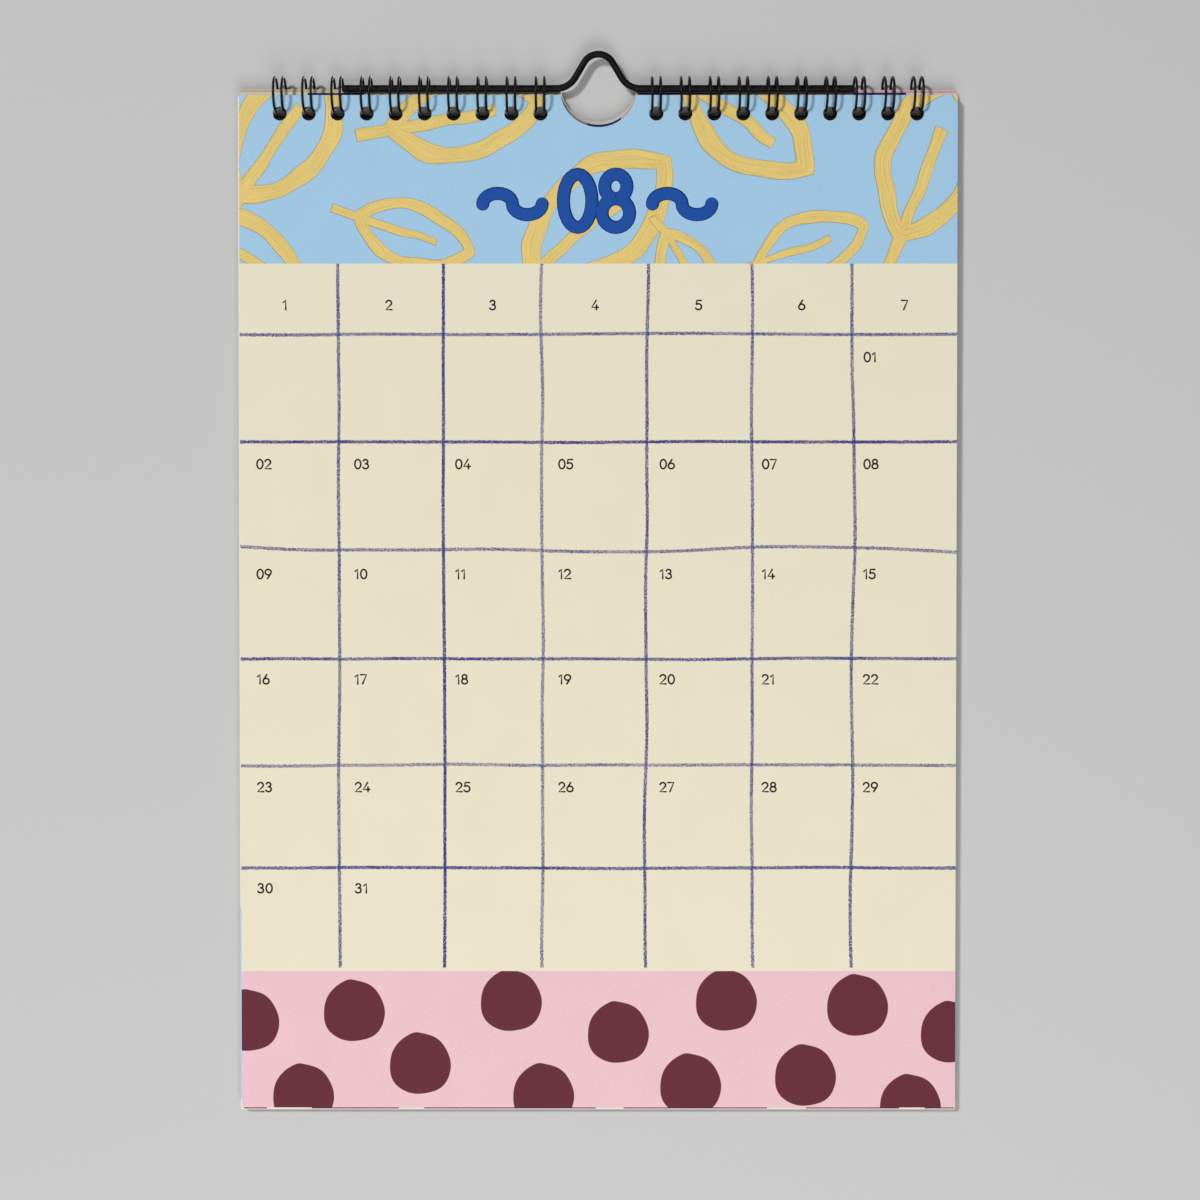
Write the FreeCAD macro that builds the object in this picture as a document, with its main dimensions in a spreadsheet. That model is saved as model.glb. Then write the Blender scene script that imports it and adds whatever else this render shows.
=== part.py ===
import FreeCAD, Part
import math
import os

import Sketcher

# Wall calendar: punched sheets on two strips of twin wire loops, hung from a bent wire hanger.
# It hangs upright with its front towards -Y. The origin is where the nail bears, at the inner top of
# the hanger's arch. All sizes are in millimetres.

SIZES = [
    ("sheet_width", 210.0, "width of a sheet"),
    ("sheet_height", 297.0, "height of a sheet"),
    ("leaf_thickness", 0.18, "one sheet of paper"),
    ("board_thickness", 0.6, "stiff card at the back"),
    ("page_gap", 0.1, "air behind the sheet that turns"),
    ("layer_gap", 0.05, "air between the other layers"),
    ("hole_diameter", 4.2, "punched round holes"),
    ("hole_inset", 5.37, "hole centres below a sheet's top edge"),
    ("side_margin", 9.0, "least distance of a hole centre from the side edge"),
    ("thumb_radius", 11.2, "round cut in the middle of the top edge"),
    ("thumb_rise", 1.84, "centre of that cut above the top edge"),
    ("loop_pitch", 8.467, "three loops to the inch"),
    ("loop_room", 0.92, "between the rearmost turned sheet and the middle of the loops' wire"),
    ("loop_spread", 2.44, "between the two legs of a loop"),
    ("loop_wire", 0.75, "wire of the loops"),
    ("loop_bend", 0.8, "bend from a leg into the strip's spine"),
    ("seam_angle", 65.0, "spine behind the lowest point of the loop, in degrees"),
    ("seam_gap", 0.3, "tip of the closed loop short of the spine"),
    ("spine_end", 0.9, "spine past the last loop"),
    ("seat_gap", 0.15, "between a hole's edge and the wire it hangs on"),
    ("turned_drop", 0.4, "middle of the turned sheets' holes below the wire, less than they would hang"),
    ("hanger_length", 150.0, "straight across the whole hanger"),
    ("hanger_wire", 2.0, "wire of the hanger"),
    ("hanger_chamfer", 0.3, "around its cut ends"),
    ("arch_height", 10.0, "arch above the rod, middle to middle"),
    ("arch_width", 24.6, "arch across its feet, where the rod is straight again"),
    ("arch_top_radius", 4.8, "round top of the arch at the middle of its wire"),
    ("arch_foot_radius", 6.4, "round foot of the arch at the middle of its wire"),
    ("rod_gap", 0.15, "rod clear of the sheets before and behind it"),
    ("rod_lift", 0.95, "rod above the board's top edge"),
]

# Sheets in a pack are never quite square to each other. Each row is one sheet, from the front: its
# shift to the right, its drop in millimetres, and its turn in degrees, clockwise from the front.
LATER_SHEETS = [
    (-0.38, 0.40, 0.00),
    (-0.10, 0.72, 0.00),
    (-0.20, 0.30, 0.02),
    (0.00, 0.10, -0.02),
]
TURNED_SHEETS = [
    (0.10, 0.10, 0.00),
    (-0.20, 0.05, 0.02),
    (0.00, 0.15, -0.02),
    (-0.10, -0.10, 0.03),
    (0.15, 0.00, -0.01),
    (0.00, -0.10, 0.02),
    (-0.15, -0.15, 0.04),
    (-0.20, -0.05, 0.10),
]

# The wires' round section is drawn with four sides of the same area, to keep the forty legs light.
WIRE_SIDES = 4

doc = FreeCAD.newDocument("WallCalendar")
sizes = doc.addObject("Spreadsheet::Sheet", "Sizes")
for row, (alias, value, note) in enumerate(SIZES, start=1):
    sizes.set(f"A{row}", note)
    sizes.set(f"B{row}", str(value))
    sizes.setAlias(f"B{row}", alias)
doc.recompute()


def size(alias):
    return float(sizes.get(alias))


def cell(alias):
    return f"Sizes.{alias}"


# Distances that follow from the sizes, as expressions. Depths run to the rear from the loops' axis,
# which lies in the middle of the front sheet, and heights run up from it.
wire = f"{cell('loop_wire')} / 2"
rod = f"{cell('hanger_wire')} / 2"
hole = f"{cell('hole_diameter')} / 2"
later_front = f"({cell('leaf_thickness')} / 2 + {cell('page_gap')})"
later_rear = f"({later_front} + {len(LATER_SHEETS)} * {cell('leaf_thickness')})"
board_front = f"({later_rear} + {cell('layer_gap')})"
board_middle = f"({board_front} + {cell('board_thickness')} / 2)"
board_rear = f"({board_front} + {cell('board_thickness')})"
rod_depth = f"({cell('leaf_thickness')} / 2 + {cell('rod_gap')} + {rod})"
turned_front = f"(max({board_rear} + {cell('layer_gap')}; {rod_depth} + {rod} + {cell('rod_gap')}))"
turned_rear = f"({turned_front} + {len(TURNED_SHEETS)} * {cell('leaf_thickness')})"

# The loops are as large as what they hold: their radius at the middle of the wire is 4.75 here.
ring = f"({turned_rear} + {cell('loop_room')})"
reach = f"sqrt(({hole} - {wire} - {cell('seat_gap')})^2 - ({cell('loop_spread')} / 2)^2)"


def hole_height(depth):
    # The hole of a sheet at this depth hangs with both sides of its top edge on the two legs.
    fall = f"sqrt({ring}^2 - ({depth})^2)"
    return f"(-{fall} - {reach} - {wire} * ({ring} / {fall} - 1))"


rod_height = f"({hole_height(board_rear)} + {cell('hole_inset')} + {cell('rod_lift')} + {rod})"
turned_lift = f"({reach} - {cell('turned_drop')})"

# Place of the loops' axis in the calendar's own frame.
axis_y = f"-{rod_depth}"
axis_z = f"(-({cell('arch_height')} - {rod}) - {rod_height})"


def bind(thing, **expressions):
    for name, expression in expressions.items():
        thing.setExpression(name.replace("__", "."), expression)


def place(thing, x="0", y="0", z="0"):
    bind(thing, Placement__Base__x=x, Placement__Base__y=y, Placement__Base__z=z)


def origin_plane(body, role):
    return next(feature for feature in body.Origin.OriginFeatures if feature.Role == role)


def sketch_in(body, name, role):
    sketch = body.newObject("Sketcher::SketchObject", name)
    sketch.AttachmentSupport = [(origin_plane(body, role), "")]
    sketch.MapMode = "FlatFace"
    return sketch


def dimension(sketch, kind, *picks, value):
    # A named length in a sketch: it starts at the value that its expression has now.
    number = sketch.addConstraint(Sketcher.Constraint(kind, *picks, float(sketch.evalExpression(value))))
    sketch.setExpression(f"Constraints[{number}]", value)


def loop_steps():
    # Loops stand at whole steps of the pitch, from beside the thumb cut out to the side margin.
    pitch = size("loop_pitch")
    first = math.ceil((size("thumb_radius") + size("hole_diameter")) / pitch)
    last = math.floor((size("sheet_width") / 2 - size("side_margin")) / pitch)
    return first, last


def punch(name):
    # Outline of everything that is punched out of a sheet, with the holes' row at its origin.
    sketch = doc.addObject("Sketcher::SketchObject", name)
    sketch.Placement = FreeCAD.Placement(FreeCAD.Vector(), FreeCAD.Rotation(FreeCAD.Vector(1, 0, 0), 90))
    first, last = loop_steps()
    up = FreeCAD.Vector(0, 0, 1)
    for step in [*range(-last, 1 - first), *range(first, last + 1)]:
        centre = FreeCAD.Vector(step * size("loop_pitch"), 0, 0)
        number = sketch.addGeometry(Part.Circle(centre, up, size("hole_diameter") / 2))
        sketch.addConstraint(Sketcher.Constraint("PointOnObject", number, 3, -1))
        dimension(sketch, "DistanceX", -1, 1, number, 3, value=f"{step} * {cell('loop_pitch')}")
        dimension(sketch, "Radius", number, value=hole)
    centre = FreeCAD.Vector(0, size("hole_inset") + size("thumb_rise"), 0)
    number = sketch.addGeometry(Part.Circle(centre, up, size("thumb_radius")))
    sketch.addConstraint(Sketcher.Constraint("PointOnObject", number, 3, -2))
    rise = f"{cell('hole_inset')} + {cell('thumb_rise')}"
    dimension(sketch, "DistanceY", -1, 1, number, 3, value=rise)
    dimension(sketch, "Radius", number, value=cell("thumb_radius"))
    return sketch


def sheet_outline(body):
    # A sheet from the front with the round thumb cut in its top edge, the holes' row at its origin.
    sketch = sketch_in(body, "Outline", "XZ_Plane")
    half = size("sheet_width") / 2
    top = size("hole_inset")
    foot = top - size("sheet_height")
    rise = size("thumb_rise")
    mouth = math.sqrt(size("thumb_radius") ** 2 - rise**2)
    corners = [(mouth, top), (half, top), (half, foot), (-half, foot), (-half, top), (-mouth, top)]
    points = [FreeCAD.Vector(x, y, 0) for x, y in corners]
    for start, end in zip(points, points[1:]):
        sketch.addGeometry(Part.LineSegment(start, end))
    cut = Part.Circle(FreeCAD.Vector(0, top + rise, 0), FreeCAD.Vector(0, 0, 1), size("thumb_radius"))
    left = math.atan2(-rise, -mouth)
    right = math.atan2(-rise, mouth)
    arc = sketch.addGeometry(Part.ArcOfCircle(cut, left, right))
    top_right, right_side, bottom, left_side, top_left = range(5)
    for line in range(4):
        sketch.addConstraint(Sketcher.Constraint("Coincident", line, 2, line + 1, 1))
    sketch.addConstraint(Sketcher.Constraint("Coincident", top_left, 2, arc, 1))
    sketch.addConstraint(Sketcher.Constraint("Coincident", arc, 2, top_right, 1))
    for line in (top_right, top_left):
        sketch.addConstraint(Sketcher.Constraint("Horizontal", line))
    for line in (right_side, left_side):
        sketch.addConstraint(Sketcher.Constraint("Vertical", line))
    for edge in (bottom, arc):
        sketch.addConstraint(Sketcher.Constraint("Symmetric", edge, 1, edge, 2, -2))
    dimension(sketch, "DistanceX", bottom, 2, bottom, 1, value=cell("sheet_width"))
    dimension(sketch, "DistanceY", right_side, 2, right_side, 1, value=cell("sheet_height"))
    dimension(sketch, "DistanceY", -1, 1, top_right, 1, value=cell("hole_inset"))
    dimension(sketch, "DistanceY", top_right, 1, arc, 3, value=cell("thumb_rise"))
    dimension(sketch, "Radius", arc, value=cell("thumb_radius"))
    return sketch


def hole_row(body, name, side):
    # One round hole beside the thumb cut, repeated outwards along the top edge.
    first, last = loop_steps()
    sketch = sketch_in(body, name + "Hole", "XZ_Plane")
    centre = FreeCAD.Vector(side * first * size("loop_pitch"), 0, 0)
    circle = Part.Circle(centre, FreeCAD.Vector(0, 0, 1), size("hole_diameter") / 2)
    number = sketch.addGeometry(circle)
    sketch.addConstraint(Sketcher.Constraint("PointOnObject", number, 3, -1))
    dimension(sketch, "DistanceX", -1, 1, number, 3, value=f"{side * first} * {cell('loop_pitch')}")
    dimension(sketch, "Radius", number, value=hole)
    pocket = body.newObject("PartDesign::Pocket", name + "Pocket")
    pocket.Profile = sketch
    pocket.Type = "ThroughAll"
    pocket.Midplane = True
    body.Tip = pocket
    doc.recompute()
    row = body.newObject("PartDesign::LinearPattern", name + "Row")
    row.Originals = [pocket]
    row.Direction = (sketch, ["H_Axis"])
    row.Reversed = side < 0
    row.Occurrences = last - first + 1
    bind(row, Length=f"{last - first} * {cell('loop_pitch')}")
    body.Tip = row


def punched_sheet(label, thickness, middle, rear):
    # A single sheet or board. Its rear edge bears on the wires, which slope up to the rear there.
    body = doc.addObject("PartDesign::Body", label)
    pad = body.newObject("PartDesign::Pad", label + "Pad")
    outline = sheet_outline(body)
    pad.Profile = outline
    pad.Midplane = True
    bind(pad, Length=thickness)
    body.Tip = pad
    doc.recompute()
    hole_row(body, "Right", 1)
    hole_row(body, "Left", -1)
    place(body, y=f"{axis_y} + {middle}", z=f"{axis_z} + {hole_height(rear)}")
    return body


def sheet_pack(label, leaves, front, lift="0"):
    # Sheets that lie together, each a little out of line. The pack follows the slope of the wires, so
    # its sheets step up towards the rear and its holes and thumb cut run up with them.
    thickness = cell("leaf_thickness")
    rear = f"({front} + {len(leaves)} * {thickness})"
    slope = f"(({hole_height(rear)} - {hole_height(front)}) / ({rear} - {front}))"
    pages = []
    for number, (shift, drop, turn) in enumerate(leaves):
        page = doc.addObject("Part::Box", f"{label}_page_{number}")
        bind(page, Length=cell("sheet_width"), Width=thickness, Height=cell("sheet_height"))
        page.Placement.Rotation = FreeCAD.Rotation(FreeCAD.Vector(0, 1, 0), turn)
        # The box stands on its lower left front corner, which turns about the middle of the holes' row.
        half = f"{cell('sheet_width')} / 2"
        below = f"({cell('sheet_height')} - {cell('hole_inset')})"
        cosine = f"cos({turn} deg)"
        sine = f"sin({turn} deg)"
        row = f"{hole_height(front)} + {slope} * ({number} + 0.5) * {thickness} + {lift} - {drop}"
        place(
            page,
            x=f"{shift} - {half} * {cosine} - {below} * {sine}",
            y=f"{axis_y} + {front} + {number} * {thickness}",
            z=f"{axis_z} + {row} + {half} * {sine} - {below} * {cosine}",
        )
        pages.append(page)
    block = doc.addObject("Part::MultiFuse", label + "_block")
    block.Shapes = pages
    outline = punch(label + "_punch")
    start = f"({front} - {thickness})"
    place(
        outline,
        y=f"{axis_y} + {start}",
        z=f"{axis_z} + {hole_height(front)} - {slope} * {thickness} + {lift}",
    )
    stamp = doc.addObject("Part::Extrusion", label + "_stamp")
    stamp.Base = outline
    stamp.DirMode = "Custom"
    stamp.Dir = FreeCAD.Vector(0, 1, 0)
    stamp.Solid = True
    bind(stamp, Dir__z=slope, LengthFwd=f"{len(leaves) + 2} * {thickness} * sqrt(1 + {slope}^2)")
    pack = doc.addObject("Part::Cut", label)
    pack.Base = block
    pack.Tool = stamp
    return pack


def loop_strip(label, steps):
    # One wire, bent into twin loops: it runs along the spine, turns up, goes once round the ring to the
    # closed tip, comes back beside itself and turns into the spine again.
    radius = float(sizes.evalExpression(ring))
    half = size("loop_spread") / 2
    bend = size("loop_bend")
    seam = math.radians(size("seam_angle"))
    leg_start = seam + bend / radius
    leg_end = seam - (size("seam_gap") + half) / radius + 2 * math.pi
    right = FreeCAD.Vector(1, 0, 0)

    def on_ring(x, angle):
        # The angle is counted from the lowest point of the ring, up its rear.
        return FreeCAD.Vector(x, radius * math.sin(angle), -radius * math.cos(angle))

    def onwards(angle):
        return FreeCAD.Vector(0, math.cos(angle), math.sin(angle))

    def leg(x, start, end):
        return Part.Arc(on_ring(x, start), on_ring(x, (start + end) / 2), on_ring(x, end)).toShape()

    def corner(x, side):
        # Quarter bend between the leg at x and the spine on that side of it.
        down = onwards(leg_start) * -1
        centre = on_ring(x, leg_start) + right * (side * bend)
        middle = centre + (down - right * side).normalize() * bend
        return on_ring(x, leg_start), middle, centre + down * bend

    edges = []
    for step in steps:
        x = step * size("loop_pitch")
        foot, middle, spine = corner(x - half, -1)
        start = edges[-1].valueAt(edges[-1].LastParameter) if edges else spine - right * size("spine_end")
        edges.append(Part.LineSegment(start, spine).toShape())
        edges.append(Part.Arc(spine, middle, foot).toShape())
        edges.append(leg(x - half, leg_start, leg_end))
        tip = on_ring(x, leg_end) + onwards(leg_end) * half
        edges.append(Part.Arc(on_ring(x - half, leg_end), tip, on_ring(x + half, leg_end)).toShape())
        edges.append(leg(x + half, leg_end, leg_start))
        foot, middle, spine = corner(x + half, 1)
        edges.append(Part.Arc(foot, middle, spine).toShape())
    edges.append(Part.LineSegment(spine, spine + right * size("spine_end")).toShape())

    # Flat-sided section of the round wire's area, with one side towards the ring's axis.
    begin = edges[0].valueAt(edges[0].FirstParameter)
    out = size("loop_wire") / 2
    out *= math.sqrt(2 * math.pi / (WIRE_SIDES * math.sin(2 * math.pi / WIRE_SIDES)))
    outward = FreeCAD.Vector(0, math.sin(leg_start), -math.cos(leg_start))
    corners = []
    for number in range(WIRE_SIDES + 1):
        turn = 2 * math.pi * (number + 0.5) / WIRE_SIDES
        along = onwards(leg_start) * (out * math.sin(turn))
        corners.append(begin + outward * (out * math.cos(turn)) + along)
    section = Part.Face(Part.makePolygon(corners))
    strip = doc.addObject("Part::Feature", label)
    strip.Shape = Part.Wire(edges).makePipe(section)
    place(strip, y=axis_y, z=axis_z)
    return strip


def wire_hanger(label):
    # A straight rod with a bell-shaped arch: two round feet, straight flanks and a round top, all tangent.
    body = doc.addObject("PartDesign::Body", label)
    path = sketch_in(body, "Path", "XZ_Plane")
    top_radius = size("arch_top_radius")
    foot_radius = size("arch_foot_radius")
    end = size("hanger_length") / 2
    height = size("arch_height")
    spread = size("arch_width") / 2
    between = top_radius + foot_radius
    rise = height - between
    # The flanks touch both rounds, and lean outwards from upright by this angle.
    lean = math.acos(between / math.hypot(spread, rise)) - math.atan2(rise, spread)
    up = FreeCAD.Vector(0, 0, 1)
    across = FreeCAD.Vector(spread, 0, 0)
    slant = FreeCAD.Vector(math.cos(lean), math.sin(lean), 0)
    mirrored = FreeCAD.Vector(-slant.x, slant.y, 0)
    top = Part.Circle(FreeCAD.Vector(0, height - top_radius, 0), up, top_radius)
    left = Part.Circle(FreeCAD.Vector(-spread, foot_radius, 0), up, foot_radius)
    right = Part.Circle(FreeCAD.Vector(spread, foot_radius, 0), up, foot_radius)
    path.addGeometry(Part.LineSegment(FreeCAD.Vector(-end, 0, 0), across * -1))
    path.addGeometry(Part.ArcOfCircle(left, -math.pi / 2, -lean))
    path.addGeometry(
        Part.LineSegment(left.Center - mirrored * foot_radius, top.Center + mirrored * top_radius)
    )
    path.addGeometry(Part.ArcOfCircle(top, lean, math.pi - lean))
    path.addGeometry(Part.LineSegment(top.Center + slant * top_radius, right.Center - slant * foot_radius))
    path.addGeometry(Part.ArcOfCircle(right, math.pi + lean, 1.5 * math.pi))
    path.addGeometry(Part.LineSegment(across, FreeCAD.Vector(end, 0, 0)))
    rod_left, foot_left, flank_left, arch, flank_right, foot_right, rod_right = range(7)
    joints = [
        (rod_left, 2, foot_left, 1),
        (foot_left, 2, flank_left, 1),
        (flank_left, 2, arch, 2),
        (arch, 1, flank_right, 1),
        (flank_right, 2, foot_right, 1),
        (foot_right, 2, rod_right, 1),
    ]
    for joint in joints:
        path.addConstraint(Sketcher.Constraint("Tangent", *joint))
    for line in (rod_left, rod_right):
        path.addConstraint(Sketcher.Constraint("Horizontal", line))
    path.addConstraint(Sketcher.Constraint("PointOnObject", rod_left, 1, -1))
    path.addConstraint(Sketcher.Constraint("PointOnObject", arch, 3, -2))
    path.addConstraint(Sketcher.Constraint("Symmetric", rod_left, 1, rod_right, 2, -2))
    dimension(path, "DistanceX", rod_left, 1, rod_right, 2, value=cell("hanger_length"))
    half_width = f"{cell('arch_width')} / 2"
    dimension(path, "DistanceX", rod_left, 2, -1, 1, value=half_width)
    dimension(path, "DistanceX", -1, 1, rod_right, 1, value=half_width)
    dimension(path, "Radius", arch, value=cell("arch_top_radius"))
    dimension(path, "Radius", foot_left, value=cell("arch_foot_radius"))
    dimension(path, "Radius", foot_right, value=cell("arch_foot_radius"))
    arch_centre = f"{cell('arch_height')} - {cell('arch_top_radius')}"
    dimension(path, "DistanceY", -1, 1, arch, 3, value=arch_centre)
    profile = sketch_in(body, "Section", "YZ_Plane")
    profile.addGeometry(Part.Circle(FreeCAD.Vector(), up, size("hanger_wire") / 2))
    profile.addConstraint(Sketcher.Constraint("Coincident", 0, 3, -1, 1))
    dimension(profile, "Radius", 0, value=rod)
    bind(profile, AttachmentOffset__Base__z=f"-{cell('hanger_length')} / 2")
    doc.recompute()
    bent = body.newObject("PartDesign::AdditivePipe", "Bent")
    bent.Profile = profile
    bent.Spine = (path, [])
    body.Tip = bent
    doc.recompute()
    rims = []
    for number, edge in enumerate(bent.Shape.Edges, start=1):
        box = edge.BoundBox
        if box.XLength < 0.01 and abs(abs(box.XMin) - end) < 0.01:
            rims.append(f"Edge{number}")
    ends = body.newObject("PartDesign::Chamfer", "Ends")
    ends.Base = (bent, rims)
    bind(ends, Size=cell("hanger_chamfer"))
    body.Tip = ends
    place(body, z=f"-({cell('arch_height')} - {rod})")
    return body


first_step, last_step = loop_steps()
right_steps = list(range(first_step, last_step + 1))
left_steps = [-step for step in reversed(right_steps)]
subparts = [
    wire_hanger("hanger"),
    loop_strip("wire_binding_left", left_steps),
    loop_strip("wire_binding_right", right_steps),
    punched_sheet("front_sheet", cell("leaf_thickness"), "0", "0"),
    sheet_pack("later_sheets", LATER_SHEETS, later_front),
    punched_sheet("back_board", cell("board_thickness"), board_middle, board_rear),
    sheet_pack("turned_sheets", TURNED_SHEETS, turned_front, turned_lift),
]
doc.recompute()

for thing in doc.Objects:
    if "Invalid" in thing.State or "Error" in thing.State:
        raise RuntimeError(f"{thing.Name} did not build: {thing.State}")
for part in subparts:
    if part.Shape.isNull() or not part.Shape.isValid():
        raise RuntimeError(f"{part.Label} has no valid shape")

os.makedirs("parts", exist_ok=True)
for part in subparts:
    part.Shape.exportStep(f"parts/{part.Label}.step")
    box = part.Shape.BoundBox
    print(part.Label, len(part.Shape.Solids), "solid", f"{part.Shape.Volume:.1f} mm3", box)
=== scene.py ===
import math

import bmesh
import bpy
from mathutils import Matrix, Vector


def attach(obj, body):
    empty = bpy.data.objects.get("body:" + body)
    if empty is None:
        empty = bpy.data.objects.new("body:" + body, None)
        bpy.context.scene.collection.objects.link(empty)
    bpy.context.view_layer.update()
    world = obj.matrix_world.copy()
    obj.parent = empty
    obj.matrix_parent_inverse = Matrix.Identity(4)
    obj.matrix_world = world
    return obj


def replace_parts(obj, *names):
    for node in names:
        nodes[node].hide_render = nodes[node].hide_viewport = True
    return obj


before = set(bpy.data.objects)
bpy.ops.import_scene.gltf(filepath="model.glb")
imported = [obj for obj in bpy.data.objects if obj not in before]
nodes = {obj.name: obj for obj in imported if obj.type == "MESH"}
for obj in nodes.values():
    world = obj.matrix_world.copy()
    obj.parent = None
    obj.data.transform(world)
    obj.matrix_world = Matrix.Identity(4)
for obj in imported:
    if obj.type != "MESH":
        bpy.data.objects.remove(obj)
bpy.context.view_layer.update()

millimetre = 0.001
stripeWidth = 212.0  # a little more than the widest sheet, in millimetres
print("frame loaded:", ", ".join(sorted(nodes)))


# Small helpers for node trees

def addNode(tree, kind, inputs=None, **settings):
    made = tree.nodes.new(kind)
    for name, value in settings.items():
        setattr(made, name, value)
    for name, value in (inputs or {}).items():
        plug(tree, value, made.inputs[name])
    return made


def plug(tree, value, socket):
    if isinstance(value, bpy.types.NodeSocket):
        tree.links.new(value, socket)
    else:
        socket.default_value = value


def calc(tree, operation, *values, clamp=False):
    made = tree.nodes.new("ShaderNodeMath")
    made.operation = operation
    made.use_clamp = clamp
    for socket, value in zip(made.inputs, values):
        plug(tree, value, socket)
    return made.outputs[0]


def hypotenuse(tree, first, second):
    squares = calc(tree, "MULTIPLY_ADD", first, first, calc(tree, "MULTIPLY", second, second))
    return calc(tree, "SQRT", squares)


def blend(tree, mask, under, over):
    # As paint, for plain numbers.
    return addNode(tree, "ShaderNodeMix", {0: mask, 2: under, 3: over}).outputs[0]


def vectorCalc(tree, operation, *values, scale=None):
    made = tree.nodes.new("ShaderNodeVectorMath")
    made.operation = operation
    for socket, value in zip(made.inputs, values):
        plug(tree, value, socket)
    if scale is not None:
        plug(tree, scale, made.inputs["Scale"])
    return made.outputs["Vector"]


def paint(tree, mask, under, over):
    # Lays one colour over another where the mask is 1.
    made = tree.nodes.new("ShaderNodeMix")
    made.data_type = "RGBA"
    made.clamp_factor = True
    plug(tree, mask, made.inputs[0])
    plug(tree, under, made.inputs[6])
    plug(tree, over, made.inputs[7])
    return made.outputs[2]


def stripes(tree, x, row):
    # A row of plain colours from left to right: each runs from its x up to the next one.
    made = tree.nodes.new("ShaderNodeValToRGB")
    made.color_ramp.interpolation = "CONSTANT"
    elements = made.color_ramp.elements
    while len(elements) > 1:
        elements.remove(elements[-1])
    for number, (at, colour) in enumerate(row):
        place = at / stripeWidth + 0.5
        element = elements[0] if number == 0 else elements.new(place)
        element.position = place
        element.color = colour
    plug(tree, calc(tree, "MULTIPLY_ADD", x, 1 / stripeWidth, 0.5), made.inputs[0])
    return made.outputs[0]


def softStep(tree, value, edge, blur):
    # 0 below the edge and 1 above it, with a soft line between.
    made = addNode(tree, "ShaderNodeMapRange", interpolation_type="SMOOTHSTEP")
    plug(tree, value, made.inputs["Value"])
    plug(tree, calc(tree, "SUBTRACT", edge, blur), made.inputs["From Min"])
    plug(tree, calc(tree, "ADD", edge, blur), made.inputs["From Max"])
    return made.outputs[0]


def newGroup(name, inputs, outputs):
    tree = bpy.data.node_groups.new(name, "ShaderNodeTree")
    for label, start in inputs.items():
        kind = "NodeSocketVector" if start is None else "NodeSocketFloat"
        socket = tree.interface.new_socket(label, in_out="INPUT", socket_type=kind)
        if start is not None:
            socket.default_value = start
    for label in outputs:
        tree.interface.new_socket(label, in_out="OUTPUT", socket_type="NodeSocketFloat")
    return tree, tree.nodes.new("NodeGroupInput").outputs, tree.nodes.new("NodeGroupOutput").inputs


def useGroup(tree, group, **inputs):
    made = tree.nodes.new("ShaderNodeGroup")
    made.node_tree = group
    for name, value in inputs.items():
        plug(tree, value, made.inputs[name])
    return made.outputs


def srgb(red, green, blue):
    # A colour as a painting program shows it, made linear.
    def linear(level):
        level /= 255
        return level / 12.92 if level <= 0.04045 else ((level + 0.055) / 1.055) ** 2.4

    return (linear(red), linear(green), linear(blue), 1.0)


def emptyMaterial(name):
    material = bpy.data.materials.new(name)
    material.use_nodes = True
    material.node_tree.nodes.clear()
    return material, material.node_tree


def newMaterial(name, roughness, specular):
    material, tree = emptyMaterial(name)
    inputs = {"Roughness": roughness, "Specular IOR Level": specular}
    shader = addNode(tree, "ShaderNodeBsdfPrincipled", inputs)
    addNode(tree, "ShaderNodeOutputMaterial", {"Surface": shader.outputs[0]})
    return material, tree, shader


def noise(tree, place, scale, detail, kind="3D"):
    inputs = {"Vector": place, "Scale": scale, "Detail": detail}
    return addNode(tree, "ShaderNodeTexNoise", inputs, noise_dimensions=kind).outputs


def mixShaders(tree, mask, under, over):
    return addNode(tree, "ShaderNodeMixShader", {0: mask, 1: under, 2: over}).outputs[0]


def pagePlace(tree):
    # Where a point is on the calendar, in millimetres.
    where = tree.nodes.new("ShaderNodeTexCoord").outputs["Object"]
    place = vectorCalc(tree, "SCALE", where, scale=1 / millimetre)
    parts = addNode(tree, "ShaderNodeSeparateXYZ", {"Vector": place}).outputs
    return place, parts["X"], parts["Y"], parts["Z"]


# Effects that several papers share, all measured in millimetres

grainLook = {"fibreScale": 2.2, "fibreTone": 0.15, "cloudScale": 0.07, "cloudTone": 0.04}


def makePaperGrain(look):
    tree, given, result = newGroup("paperGrain", {"Place": None}, ["Tone", "Fine", "Wide"])
    fibre = noise(tree, given["Place"], look["fibreScale"], 2.0)["Fac"]
    cloud = noise(tree, given["Place"], look["cloudScale"], 1.0)["Fac"]
    fine = calc(tree, "MULTIPLY_ADD", fibre, look["fibreTone"], -look["fibreTone"] / 2)
    wide = calc(tree, "MULTIPLY_ADD", cloud, look["cloudTone"], -look["cloudTone"] / 2)
    plug(tree, calc(tree, "ADD", calc(tree, "ADD", fine, wide), 1.0), result["Tone"])
    plug(tree, fibre, result["Fine"])
    plug(tree, cloud, result["Wide"])
    return tree


# How fast the line wanders, how uneven and soft its edges are, and how grain and pressure change its tone.
lineLook = {"travel": 0.016, "ragged": 0.7, "blur": 0.12, "worn": (2.2, 0.82), "press": (0.7, 0.65)}


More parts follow.
